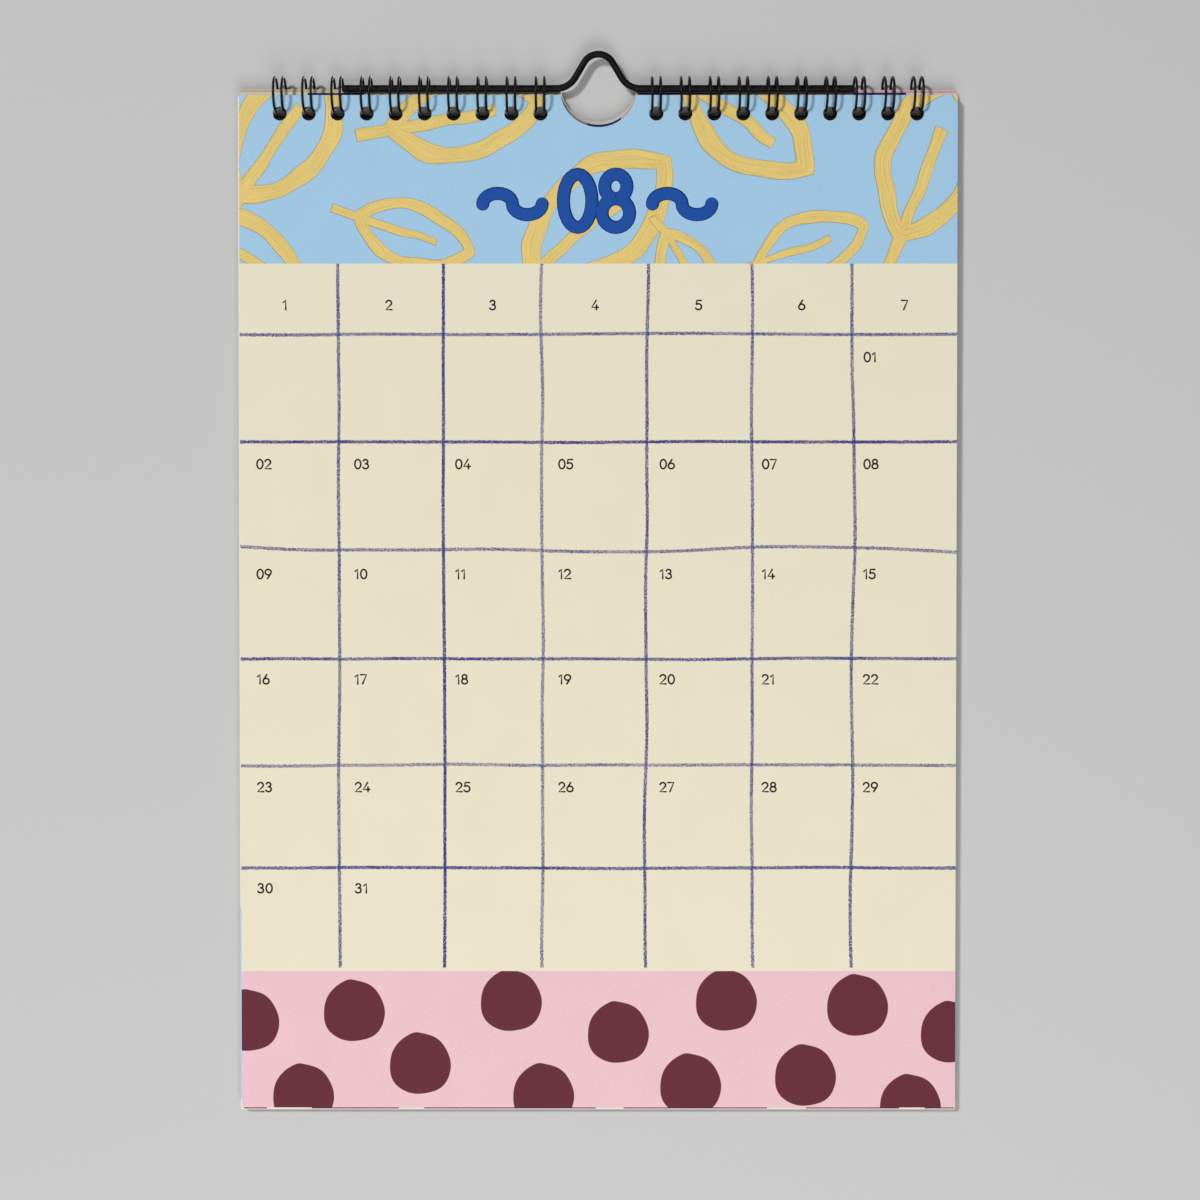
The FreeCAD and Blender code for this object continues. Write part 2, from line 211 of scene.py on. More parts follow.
def makeHandLine(look):
    # A line drawn by hand with a soft pencil: it wanders a little and its grain shows the paper.
    inputs = {
        "Across": 0.0, "Along": 0.0, "At": 0.0, "Slope": 0.0, "Wander": 1.0, "Seed": 0.0, "Width": 0.9,
        "Strength": 1.0, "Fine": 0.5, "Wide": 0.5,
    }
    tree, given, result = newGroup("handLine", inputs, ["Mask"])
    travel = calc(tree, "MULTIPLY_ADD", given["Along"], look["travel"], given["Seed"])
    inputs = {"W": travel, "Scale": 1.0, "Detail": 1.0}
    drift = addNode(tree, "ShaderNodeTexNoise", inputs, noise_dimensions="1D")
    wander = calc(tree, "MULTIPLY", calc(tree, "SUBTRACT", drift.outputs["Fac"], 0.5), given["Wander"])
    slant = calc(tree, "MULTIPLY", given["Along"], given["Slope"])
    middle = calc(tree, "ADD", calc(tree, "ADD", given["At"], slant), wander)
    away = calc(tree, "ABSOLUTE", calc(tree, "SUBTRACT", given["Across"], middle))
    rough = calc(tree, "SUBTRACT", given["Fine"], 0.5)
    half = calc(tree, "MULTIPLY", given["Width"], 0.5)
    edge = calc(tree, "MULTIPLY_ADD", rough, look["ragged"], half)
    body = calc(tree, "SUBTRACT", 1.0, softStep(tree, away, edge, look["blur"]))
    worn = calc(tree, "MULTIPLY_ADD", rough, *look["worn"])
    press = calc(tree, "MULTIPLY_ADD", given["Wide"], *look["press"])
    tone = calc(tree, "MULTIPLY", calc(tree, "MULTIPLY", worn, press), given["Strength"], clamp=True)
    plug(tree, calc(tree, "MULTIPLY", body, tone), result["Mask"])
    return tree


# Waves round the outline: their number, where they start and their height as a share of the radius.
dotLook = {
    "waves": [(3, 2.88, 0.022), (4, 4.71, 0.011), (7, 1.2, 0.006)],
    "tipTurn": 1.72, "tipSharpness": 60.0, "tipHeight": 0.034, "shrink": 0.99, "blur": 0.09,
}


def makeCutDot(look):
    # A round dot cut by hand. Every dot has the same slightly uneven outline, with a small tip on top.
    inputs = {"X": 0.0, "Z": 0.0, "CentreX": 0.0, "CentreZ": 0.0, "Radius": 9.0}
    tree, given, result = newGroup("cutDot", inputs, ["Mask"])
    right = calc(tree, "SUBTRACT", given["X"], given["CentreX"])
    up = calc(tree, "SUBTRACT", given["Z"], given["CentreZ"])
    turn = calc(tree, "ARCTAN2", up, right)
    facing = calc(tree, "COSINE", calc(tree, "SUBTRACT", turn, look["tipTurn"]))
    tip = calc(tree, "POWER", calc(tree, "MAXIMUM", facing, 0.0), look["tipSharpness"])
    swell = calc(tree, "MULTIPLY_ADD", tip, look["tipHeight"], look["shrink"])
    for waves, start, amount in look["waves"]:
        wave = calc(tree, "SINE", calc(tree, "MULTIPLY_ADD", turn, float(waves), start))
        swell = calc(tree, "MULTIPLY_ADD", wave, amount, swell)
    edge = calc(tree, "MULTIPLY", given["Radius"], swell)
    away = hypotenuse(tree, up, right)
    plug(tree, calc(tree, "SUBTRACT", 1.0, softStep(tree, away, edge, look["blur"])), result["Mask"])
    return tree


# The midrib's shift and reach are shares of half the leaf's length, and the rest are shares of the stroke.
leafLook = {"ribShift": 0.55, "ribReach": 0.85, "ribThin": 0.14, "ragged": 0.05, "half": 0.475, "blur": 0.12}
laneShift = 0.37  # moves the bristle marks on, from leaf to leaf


def makeBrushLeaf(look):
    # The outline of a leaf with its midrib, in one broad stroke of a dry brush. Lane and Run are the
    # places across and along the stroke.
    inputs = {
        "X": 0.0, "Z": 0.0, "CentreX": 0.0, "CentreZ": 0.0, "Turn": 0.0, "Length": 40.0,
        "Breadth": 20.0, "Stroke": 4.8, "Ragged": 0.5,
    }
    tree, given, result = newGroup("brushLeaf", inputs, ["Mask", "Lane", "Run"])
    right = calc(tree, "SUBTRACT", given["X"], given["CentreX"])
    up = calc(tree, "SUBTRACT", given["Z"], given["CentreZ"])
    cosine = calc(tree, "COSINE", given["Turn"])
    sine = calc(tree, "SINE", given["Turn"])
    along = calc(tree, "ADD", calc(tree, "MULTIPLY", right, cosine), calc(tree, "MULTIPLY", up, sine))
    across = calc(tree, "SUBTRACT", calc(tree, "MULTIPLY", up, cosine), calc(tree, "MULTIPLY", right, sine))
    across = calc(tree, "ABSOLUTE", across)
    # Both sides of the leaf are arcs of this radius, which meet at its two tips.
    halfLength = calc(tree, "MULTIPLY", given["Length"], 0.5)
    halfBreadth = calc(tree, "MULTIPLY", given["Breadth"], 0.5)
    squares = calc(tree, "MULTIPLY", halfBreadth, halfBreadth)
    squares = calc(tree, "MULTIPLY_ADD", halfLength, halfLength, squares)
    radius = calc(tree, "DIVIDE", squares, given["Breadth"])
    offset = calc(tree, "ADD", across, calc(tree, "SUBTRACT", radius, halfBreadth))
    rim = calc(tree, "SUBTRACT", hypotenuse(tree, along, offset), radius)
    # The midrib starts as a stalk outside the leaf and stops short of its far tip.
    ribMiddle = calc(tree, "MULTIPLY_ADD", halfLength, look["ribShift"], along)
    ribEnd = calc(tree, "MULTIPLY_ADD", halfLength, -look["ribReach"], calc(tree, "ABSOLUTE", ribMiddle))
    rib = calc(tree, "MAXIMUM", calc(tree, "MULTIPLY_ADD", given["Stroke"], look["ribThin"], across), ribEnd)
    outline = calc(tree, "ABSOLUTE", rim)
    away = calc(tree, "MINIMUM", outline, rib)
    share = calc(tree, "MULTIPLY_ADD", given["Ragged"], look["ragged"], look["half"])
    half = calc(tree, "MULTIPLY", given["Stroke"], share)
    plug(tree, calc(tree, "SUBTRACT", 1.0, softStep(tree, away, half, look["blur"])), result["Mask"])
    onRib = calc(tree, "LESS_THAN", rib, outline)
    lane = blend(tree, onRib, rim, across)
    plug(tree, calc(tree, "MULTIPLY_ADD", given["CentreX"], laneShift, lane), result["Lane"])
    plug(tree, along, result["Run"])
    return tree


paperGrain = makePaperGrain(grainLook)
handLine = makeHandLine(lineLook)
cutDot = makeCutDot(dotLook)
brushLeaf = makeBrushLeaf(leafLook)
print("shared effects ready")


# The printed papers

frontPage = {
    "face": -1.33, "thickness": 0.18,
    "headerFoot": -60.3, "footerTop": -267.9,
    "header": srgb(161, 201, 229), "body": srgb(231, 224, 199), "footer": srgb(233, 191, 200),
    "brush": srgb(231, 203, 120), "line": srgb(50, 45, 126), "dot": srgb(100, 38, 52),
    "bare": srgb(236, 234, 228),
    # The leaves' outlines waver, and bristles leave ridges along the stroke.
    "waver": 0.06, "waverReach": 5.0, "bristle": 2.4, "bristleRun": 0.03,
    "ridgeTone": (0.24, 0.87), "ridgeHeight": (1.2, 0.7), "grainHeight": 0.5, "paintDepth": 0.0003,
    # grain, roughness and specular level of each field
    "headerFinish": (1.5, 0.6, 0.2), "bodyFinish": (1.0, 0.65, 0.2), "footerFinish": (2.0, 0.62, 0.2),
    "bareFinish": (1.0, 0.7, 0.3),
    # place at the page's top, slope, wander, seed, strength
    "uprights": [
        (-76.3, -0.0012, 1.2, 3.1, 0.95), (-45.6, -0.0021, 0.9, 7.7, 1.2), (-16.7, -0.0015, 2.6, 12.4, 0.8),
        (14.4, 0.0019, 2.0, 20.3, 1.0), (44.8, -0.0017, 1.2, 31.9, 0.9), (74.6, 0.0003, 2.4, 44.6, 0.95),
    ],
    "levels": [
        (-80.9, 0.001, 1.0, 51.2, 0.9), (-112.4, 0.0, 0.8, 60.8, 1.15), (-143.9, -0.002, 3.0, 71.5, 0.85),
        (-176.0, 0.0, 1.0, 83.3, 1.05), (-207.2, 0.001, 1.2, 95.1, 0.8), (-237.5, 0.0, 1.0, 107.4, 1.05),
    ],
    "lineWidth": 0.92, "uprightFoot": -266.9,
    "dotRadius": 9.15,
    "dots": [
        (-103.0, -282.7), (-71.9, -279.8), (-86.9, -304.6), (-52.5, -295.4), (-25.7, -276.8), (-16.2, -304.5),
        (5.8, -286.2), (27.1, -301.6), (37.6, -276.7), (60.9, -298.9), (76.2, -278.2), (103.8, -286.1),
        (91.8, -307.7),
    ],
    # centre, turn in degrees, length, breadth, stroke
    "leaves": [
        (-92.0, -22.0, 55, 46, 25, 5.0), (-54.0, -52.0, -18, 34, 17, 3.4), (-39.0, -17.0, 12, 44, 22, 5.0),
        (0.0, -47.0, 40, 50, 27, 5.0), (44.0, -20.0, -35, 42, 22, 5.0), (62.0, -55.0, 20, 32, 17, 3.2),
        (97.0, -30.0, 70, 46, 26, 5.0), (-104.0, -58.0, -30, 36, 20, 4.2), (26.0, -63.0, -60, 26, 14, 3.2),
    ],
}


def paperShader(tree, colour, grain, finish, height=None, depth=None):
    # Paper takes its grain into the colour. A height raises thick paint off it.
    grainDepth, roughness, specular = finish
    tone = calc(tree, "MULTIPLY_ADD", calc(tree, "SUBTRACT", grain["Tone"], 1.0), grainDepth, 1.0)
    grained = vectorCalc(tree, "SCALE", colour, scale=tone)
    inputs = {"Base Color": grained, "Roughness": roughness, "Specular IOR Level": specular}
    if height is not None:
        relief = {"Height": height, "Strength": 0.8, "Distance": depth}
        inputs["Normal"] = addNode(tree, "ShaderNodeBump", relief, invert=True).outputs[0]
    return addNode(tree, "ShaderNodeBsdfPrincipled", inputs).outputs[0]


def headerPrint(tree, look, place, grain):
    waver = vectorCalc(tree, "SUBTRACT", noise(tree, place, look["waver"], 1.0)["Color"], (0.5, 0.5, 0.5))
    shaken = vectorCalc(tree, "ADD", place, vectorCalc(tree, "SCALE", waver, scale=look["waverReach"]))
    parts = addNode(tree, "ShaderNodeSeparateXYZ", {"Vector": shaken}).outputs
    brushed, lane, run = 0.0, 0.0, 0.0
    for centreX, centreZ, turn, leafLength, breadth, stroke in look["leaves"]:
        leaf = useGroup(
            tree, brushLeaf, X=parts["X"], Z=parts["Z"], CentreX=centreX, CentreZ=centreZ,
            Turn=math.radians(turn), Length=leafLength, Breadth=breadth, Stroke=stroke, Ragged=grain["Fine"],
        )
        lane = blend(tree, leaf["Mask"], lane, leaf["Lane"])
        run = blend(tree, leaf["Mask"], run, leaf["Run"])
        brushed = calc(tree, "MAXIMUM", brushed, leaf["Mask"])
    lanes = addNode(tree, "ShaderNodeCombineXYZ", {
        "X": calc(tree, "MULTIPLY", lane, look["bristle"]),
        "Y": calc(tree, "MULTIPLY", run, look["bristle"] * look["bristleRun"]),
    }).outputs[0]
    ridges = noise(tree, lanes, 1.0, 2.0, "2D")["Fac"]
    shade = calc(tree, "MULTIPLY_ADD", ridges, *look["ridgeTone"])
    colour = paint(tree, brushed, look["header"], vectorCalc(tree, "SCALE", look["brush"][:3], scale=shade))
    relief = calc(tree, "MULTIPLY", brushed, calc(tree, "MULTIPLY_ADD", ridges, *look["ridgeHeight"]))
    return colour, calc(tree, "MULTIPLY_ADD", grain["Fine"], look["grainHeight"], relief)


def gridPrint(tree, look, x, z, grain):
    drawn = 0.0
    for lines, across, along in ((look["uprights"], x, z), (look["levels"], z, x)):
        for at, slope, wander, seed, strength in lines:
            ink = useGroup(
                tree, handLine, Across=across, Along=along, At=at, Slope=slope, Wander=wander, Seed=seed,
                Width=look["lineWidth"], Strength=strength, Fine=grain["Fine"], Wide=grain["Wide"],
            )["Mask"]
            if lines is look["uprights"]:
                ink = calc(tree, "MULTIPLY", ink, calc(tree, "GREATER_THAN", z, look["uprightFoot"]))
            # Where two lines cross, the ink lies twice.
            drawn = calc(tree, "MULTIPLY_ADD", calc(tree, "SUBTRACT", 1.0, ink), drawn, ink)
    return paint(tree, drawn, look["body"], look["line"])


def footerPrint(tree, look, x, z):
    if "stripes" in look:
        return stripes(tree, x, look["stripes"])
    spotted = 0.0
    for centreX, centreZ in look["dots"]:
        dot = useGroup(tree, cutDot, X=x, Z=z, CentreX=centreX, CentreZ=centreZ, Radius=look["dotRadius"])
        spotted = calc(tree, "MAXIMUM", spotted, dot["Mask"])
    return paint(tree, spotted, look["footer"], look["dot"])


def printedPage(tree, look, place, x, z, grain):
    # Each field of the page is a shader of its own, so that a renderer works out only the one it needs.
    brushed, relief = headerPrint(tree, look, place, grain)
    header = paperShader(tree, brushed, grain, look["headerFinish"], relief, look["paintDepth"])
    body = paperShader(tree, gridPrint(tree, look, x, z, grain), grain, look["bodyFinish"])
    footer = paperShader(tree, footerPrint(tree, look, x, z), grain, look["footerFinish"])
    inHeader = calc(tree, "GREATER_THAN", z, look["headerFoot"])
    inFooter = calc(tree, "LESS_THAN", z, look["footerTop"])
    return mixShaders(tree, inHeader, mixShaders(tree, inFooter, body, footer), header)


def pageMaterial(name, look):
    # Only the face is printed. The cut edges and the reverse are bare paper.
    material, tree = emptyMaterial(name)
    place, x, y, z = pagePlace(tree)
    grain = useGroup(tree, paperGrain, Place=place)
    bare = paperShader(tree, look["bare"][:3], grain, look["bareFinish"])
    behind = calc(tree, "GREATER_THAN", y, look["face"] + look["thickness"] / 4)
    whole = mixShaders(tree, behind, printedPage(tree, look, place, x, z, grain), bare)
    addNode(tree, "ShaderNodeOutputMaterial", {"Surface": whole})
    return material


def dress(node, material):
    mesh = nodes[node].data
    mesh.materials.clear()
    mesh.materials.append(material)


dress("front_sheet", pageMaterial("frontPaper", frontPage))
print("front sheet printed")

white, cream, tan = srgb(226, 223, 215), srgb(228, 220, 196), srgb(208, 186, 148)
navy, maroon, pink = srgb(26, 30, 104), srgb(92, 34, 62), srgb(228, 172, 190)
skyBlue, magenta, greyBrown = srgb(168, 204, 230), srgb(186, 40, 110), srgb(150, 138, 130)
# The sheet behind, which shows when the front sheet is turned over.
nextPage = dict(
    frontPage, header=pink, brush=srgb(146, 52, 88), line=srgb(122, 48, 74),
    leaves=[
        (-80.0, -46.0, -35, 44, 22, 4.6), (-44.0, -24.0, 30, 42, 22, 4.6), (-8.0, -56.0, 5, 36, 18, 3.6),
        (34.0, -24.0, 60, 44, 24, 4.6), (66.0, -48.0, -20, 46, 24, 4.8), (98.0, -20.0, 15, 36, 18, 3.6),
        (-104.0, -18.0, 60, 38, 20, 4.2),
    ],
    stripes=[(-106, white), (-104.9, maroon), (-98, white), (-85, maroon), (-59, white), (-52, maroon),
             (-1, white), (7, maroon), (49, cream), (61, maroon), (88, white), (96, maroon)],
)

# Of the other sheets only slim edges show. A leaf is a row of colours from left to right, each from
# its x on.
otherPapers = {
    "later_sheets": {
        "front": -1.05, "page": nextPage, "rim": 104.6,
        "sliver": {"right": -104.9, "top": -249.4, "foot": -305.9, "colour": skyBlue},
        "leaves": [nextPage["stripes"], [(-106, cream)], [(-106, maroon)], [(-106, cream)]],
    },
    "turned_sheets": {
        "front": 1.15, "shaded": True,
        "leaves": [
            [(-106, white), (-86, navy), (-69, white), (-11, greyBrown), (-3.4, navy), (6.5, pink),
             (11, navy), (36, greyBrown), (74, navy), (90, white)],
            [(-106, white), (60, pink)], [(-106, tan), (60, magenta)], [(-106, tan), (60, pink)],
            [(-106, cream), (60, pink)], [(-106, tan), (60, pink)], [(-106, tan), (60, cream)],
            [(-106, cream)],
        ],
    },
}
# Inked is the share of a leaf's thickness that shows its print at the edge.
paperStack = {
    "leaf": 0.18, "inked": 0.3, "slack": 0.01, "finish": (1.0, 0.68, 0.2),
    "holeRow": -16.9, "holePitch": 8.467, "holeShade": 2.7, "firstHole": 14.0, "shade": srgb(9, 9, 10),
}
boardLook = {"colour": srgb(196, 188, 170), "coarseness": 0.6, "finish": (1.0, 0.8, 0.2)}


def holeShadow(tree, x, y, z, rear):
    # Painted shade: deep in the punched holes hardly any light is left, so the paper round each hole is
    # painted near black.
    step = calc(tree, "DIVIDE", x, paperStack["holePitch"])
    offStep = calc(tree, "SUBTRACT", step, calc(tree, "ROUND", step))
    across = calc(tree, "MULTIPLY", offStep, paperStack["holePitch"])
    up = calc(tree, "SUBTRACT", z, paperStack["holeRow"])
    away = hypotenuse(tree, up, across)
    near = calc(tree, "LESS_THAN", away, paperStack["holeShade"])
    punched = calc(tree, "GREATER_THAN", calc(tree, "ABSOLUTE", x), paperStack["firstHole"])
    inside = calc(tree, "LESS_THAN", y, rear)
    return calc(tree, "MULTIPLY", calc(tree, "MULTIPLY", near, punched), inside)


def sliverPlace(tree, look, x, z):
    # The stretch of the left edge where a coloured field of the sheet behind shows.
    left = calc(tree, "LESS_THAN", x, look["right"])
    below = calc(tree, "LESS_THAN", z, look["top"])
    above = calc(tree, "GREATER_THAN", z, look["foot"])
    return calc(tree, "MULTIPLY", calc(tree, "MULTIPLY", left, below), above)


def stackMaterial(name, look):
    # Every leaf shows its own colours at its printed face, and bare paper behind that.
    material, tree = emptyMaterial(name)
    place, x, y, z = pagePlace(tree)
    grain = useGroup(tree, paperGrain, Place=place)
    depth = calc(tree, "SUBTRACT", y, look["front"] - paperStack["slack"])
    level = calc(tree, "DIVIDE", depth, paperStack["leaf"])
    colour = look["leaves"][0][0][1]
    for number, leaf in enumerate(look["leaves"]):
        reached = calc(tree, "GREATER_THAN", level, float(number))
        colour = paint(tree, reached, colour, stripes(tree, x, leaf))
    inked = calc(tree, "LESS_THAN", calc(tree, "FRACT", level), paperStack["inked"])
    colour = paint(tree, inked, frontPage["bare"], colour)
    if "sliver" in look:
        colour = paint(tree, sliverPlace(tree, look["sliver"], x, z), colour, look["sliver"]["colour"])
    # The turned sheets' paper round the holes gets painted near-black shade.
    if look.get("shaded"):
        rear = look["front"] + (len(look["leaves"]) - paperStack["inked"]) * paperStack["leaf"]
        colour = paint(tree, holeShadow(tree, x, y, z, rear), colour, paperStack["shade"])
    whole = paperShader(tree, colour, grain, paperStack["finish"])
    if "page" in look:
        onFace = calc(tree, "LESS_THAN", y, look["front"] + 2 * paperStack["slack"])
        inside = calc(tree, "LESS_THAN", calc(tree, "ABSOLUTE", x), look["rim"])
        page = printedPage(tree, look["page"], place, x, z, grain)
        whole = mixShaders(tree, calc(tree, "MULTIPLY", onFace, inside), whole, page)
    addNode(tree, "ShaderNodeOutputMaterial", {"Surface": whole})
    return material


def boardMaterial(name, look):
    material, tree = emptyMaterial(name)
    place = vectorCalc(tree, "SCALE", pagePlace(tree)[0], scale=look["coarseness"])
    grain = useGroup(tree, paperGrain, Place=place)
    whole = paperShader(tree, look["colour"][:3], grain, look["finish"])
    addNode(tree, "ShaderNodeOutputMaterial", {"Surface": whole})
    return material


for node, look in otherPapers.items():
    dress(node, stackMaterial(node + "Paper", look))
dress("back_board", boardMaterial("boardGrey", boardLook))
print("other papers printed")


# Wires

# Black plastic over steel, with faint drawing marks, on the hanger and on the loops.
coating = {
    "marks": 1.4, "spread": 0.16, "dark": srgb(6, 6, 7), "light": srgb(13, 13, 14),
    "depth": 0.00003, "rubbedBlur": 0.8, "rubbedDull": 0.38,
}
hangerWire = {"roughness": 0.5, "specular": 0.14}
# The seam is in degrees, behind the lowest point of the loop, and the other sizes in millimetres. Below
# the height rubbed, the sheets have worn the coating dull.
loopWire = {
    "radius": 4.75, "spread": 2.44, "pitch": 8.467, "wire": 0.75, "bend": 0.8, "seam": 65.0, "gap": 0.3,
    "end": 0.9, "centreY": -1.24, "centreZ": -10.8154,
    "first": 2, "last": 11, "sides": 12, "legSteps": 44, "tipSteps": 12, "bendSteps": 5,
    "roughness": 0.34, "specular": 0.22, "rubbed": -13.6,
}


def wireMaterial(name, look):
    material, tree, shader = newMaterial(name, look["roughness"], look["specular"])
    place, _, _, z = pagePlace(tree)
    marks = noise(tree, place, coating["marks"], 3.0)["Fac"]
    smoothest = look["roughness"] - coating["spread"] / 2
    rough = calc(tree, "MULTIPLY_ADD", marks, coating["spread"], smoothest)
    if "rubbed" in look:
        dull = calc(tree, "SUBTRACT", 1.0, softStep(tree, z, look["rubbed"], coating["rubbedBlur"]))
        rough = calc(tree, "MULTIPLY_ADD", dull, coating["rubbedDull"], rough)
    plug(tree, rough, shader.inputs["Roughness"])
    plug(tree, paint(tree, marks, coating["dark"], coating["light"]), shader.inputs["Base Color"])
    relief = {"Height": marks, "Strength": 0.2, "Distance": coating["depth"]}
    plug(tree, addNode(tree, "ShaderNodeBump", relief).outputs[0], shader.inputs["Normal"])
    return material


dress("hanger", wireMaterial("hangerBlack", hangerWire))


def bendWire(name, firstStep, lastStep, look, material):
    # The wire's round end is pushed along the spine and spun through every bend, as the wire is formed.
    radius, half, bend = look["radius"], look["spread"] / 2, look["bend"]
    start = math.radians(look["seam"]) + bend / radius
    finish = math.radians(look["seam"]) - (look["gap"] + half) / radius + 2 * math.pi
    axis = Vector((0, look["centreY"], look["centreZ"]))
    across = Vector((1, 0, 0))

    def onRing(x, angle):
        return axis + Vector((x, radius * math.sin(angle), -radius * math.cos(angle)))

    def onwards(angle):
        return Vector((0, math.cos(angle), math.sin(angle)))

    mesh = bmesh.new()
    corner = across.cross(onwards(start))
    head = onRing(firstStep * look["pitch"] - half - bend, start)
    head = head - onwards(start) * bend - across * look["end"]
    turn = Matrix.Translation(head) @ Matrix.Rotation(math.radians(90), 4, "Y")
    bmesh.ops.create_circle(mesh, cap_ends=True, segments=look["sides"], radius=look["wire"] / 2, matrix=turn)
    rim = list(mesh.edges)

    def push(distance):
        made = bmesh.ops.extrude_edge_only(mesh, edges=rim)["geom"]
        points = [item for item in made if isinstance(item, bmesh.types.BMVert)]
        bmesh.ops.translate(mesh, vec=across * distance, verts=points)
        return [item for item in made if isinstance(item, bmesh.types.BMEdge)
                and all(point in points for point in item.verts)]

    def spin(centre, about, angle, count):
        made = bmesh.ops.spin(mesh, geom=rim, cent=centre, axis=about, angle=angle, steps=count)["geom_last"]
        return [item for item in made if isinstance(item, bmesh.types.BMEdge)]

    for step in range(firstStep, lastStep + 1):
        x = step * look["pitch"]
        rim = push(look["end"] if step == firstStep else look["pitch"] - 2 * (half + bend))
        rim = spin(onRing(x - half - bend, start), corner, math.pi / 2, look["bendSteps"])
        rim = spin(axis, across, finish - start, look["legSteps"])
        rim = spin(onRing(x, finish), onwards(finish).cross(across), math.pi, look["tipSteps"])
        rim = spin(axis, across, start - finish, look["legSteps"])
        rim = spin(onRing(x + half + bend, start), corner, math.pi / 2, look["bendSteps"])
    rim = push(look["end"])
    bmesh.ops.contextual_create(mesh, geom=rim)
    bmesh.ops.scale(mesh, vec=(millimetre,) * 3, verts=mesh.verts)
    bmesh.ops.recalc_face_normals(mesh, faces=mesh.faces)
    for face in mesh.faces:
        face.smooth = len(face.verts) == 4
    return finishPiece(mesh, name, material, "binding")


def finishPiece(mesh, name, material, body):
    data = bpy.data.meshes.new(name)
    mesh.to_mesh(data)
    mesh.free()
    data.materials.append(material)
    piece = bpy.data.objects.new(name, data)
    bpy.context.scene.collection.objects.link(piece)
    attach(piece, body)
    return piece


loopBlack = wireMaterial("loopBlack", loopWire)
last, first = loopWire["last"], loopWire["first"]
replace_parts(bendWire("loopsLeft", -last, -first, loopWire, loopBlack), "wire_binding_left")
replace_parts(bendWire("loopsRight", first, last, loopWire, loopBlack), "wire_binding_right")
print("loops bent")


# Printed numbers

# Strokes of each number on a cell one high: an arc is its middle, its two radii and its two angles in
# degrees, and a line is its points.
numerals = {
    "0": [("arc", 0.31, 0.5, 0.27, 0.5, 0, 360)],
    "1": [("line", 0.06, 0.80, 0.27, 1.0, 0.27, 0.0)],
    "2": [("arc", 0.29, 0.72, 0.25, 0.28, 168, -38), ("line", 0.487, 0.548, 0.03, 0.0, 0.56, 0.0)],
    "3": [("arc", 0.27, 0.77, 0.21, 0.23, 160, -90), ("arc", 0.27, 0.27, 0.26, 0.27, 90, -155)],
    "4": [("line", 0.40, 1.0, 0.02, 0.25, 0.58, 0.25), ("line", 0.44, 0.50, 0.44, 0.0)],
    "5": [("line", 0.50, 1.0, 0.12, 1.0, 0.08, 0.58), ("arc", 0.26, 0.32, 0.28, 0.32, 125, -150)],
    "6": [("arc", 0.30, 0.30, 0.27, 0.30, 0, 360), ("line", 0.055, 0.42, 0.36, 1.0)],
    "7": [("line", 0.02, 1.0, 0.54, 1.0, 0.19, 0.0)],
    "8": [("arc", 0.29, 0.77, 0.21, 0.23, 0, 360), ("arc", 0.29, 0.27, 0.26, 0.27, 0, 360)],
    "9": [("arc", 0.30, 0.70, 0.27, 0.30, 0, 360), ("line", 0.545, 0.58, 0.24, 0.0)],
}
numerals["~"] = [("arc", 0.28, 0.44, 0.28, 0.20, 180, 0), ("arc", 0.84, 0.44, 0.28, 0.20, 180, 360)]
numeralWidth = {"1": 0.40, "~": 1.12, " ": 0.12}
usualWidth, numeralGap = 0.62, 0.12
roundEnd = (0.35, 0.65, 0.87, 0.97, 1.0)
arcStep, arcLeast = 15, 6  # degrees to a step, and the least number of steps
inkLook = {"thickness": 0.03, "lift": 0.012, "roughness": 0.6, "specular": 0.15}


def strokePoints(stroke, blunt):
    # The points of a stroke with the thickness at each. Open strokes end round.
    kind, *values = stroke
    if kind == "line":
        points = [Vector(point) for point in zip(values[::2], values[1::2])]
    else:
        x, z, wide, tall, start, end = values
        count = max(arcLeast, round(abs(end - start) / arcStep))
        angles = [math.radians(start + (end - start) * number / count) for number in range(count + 1)]
        points = [Vector((x + wide * math.cos(angle), z + tall * math.sin(angle))) for angle in angles]
        if abs(end - start) == 360:
            return [(point, 1.0) for point in points[:-1]], True
    backwards = (points[0] - points[1]).normalized() * blunt
    onwards = (points[-1] - points[-2]).normalized() * blunt
    head = [(points[0] + backwards * part, math.sqrt(1.0001 - part * part)) for part in reversed(roundEnd)]
    tail = [(points[-1] + onwards * part, math.sqrt(1.0001 - part * part)) for part in roundEnd]
    return head + [(point, 1.0) for point in points] + tail, False


def writeNumbers(name, words, weight, material, body, face):
    # Each word is its text, the place of its lower left corner, its height and how wide it is drawn.
    curve = bpy.data.curves.new(name, "CURVE")
    curve.dimensions = "3D"
    curve.bevel_depth = weight / 2
    curve.bevel_resolution = 2
    curve.use_fill_caps = True
    for text, left, foot, height, wide in words:
        for letter in text:
            for stroke in numerals.get(letter, []):
                points, closed = strokePoints(stroke, weight / 2 / height)
                spline = curve.splines.new("POLY")
                spline.points.add(len(points) - 1)
                spline.use_cyclic_u = closed
                for point, (at, thickness) in zip(spline.points, points):
                    point.co = (left + at.x * height * wide, 0, foot + at.y * height, 1)
                    point.radius = thickness
            left += (numeralWidth.get(letter, usualWidth) + numeralGap) * height * wide
    written = bpy.data.objects.new(name, curve)
    bpy.context.scene.collection.objects.link(written)
    bpy.context.view_layer.update()
    data = bpy.data.meshes.new_from_object(written.evaluated_get(bpy.context.evaluated_depsgraph_get()))
    bpy.data.objects.remove(written)
    mesh = bmesh.new()
    mesh.from_mesh(data)
    # The strokes are pressed flat onto the paper.
    bmesh.ops.scale(mesh, vec=(1, inkLook["thickness"] / weight, 1), verts=mesh.verts)
    bmesh.ops.translate(mesh, vec=(0, face - inkLook["lift"], 0), verts=mesh.verts)
    bmesh.ops.scale(mesh, vec=(millimetre,) * 3, verts=mesh.verts)
    return finishPiece(mesh, name, material, body)


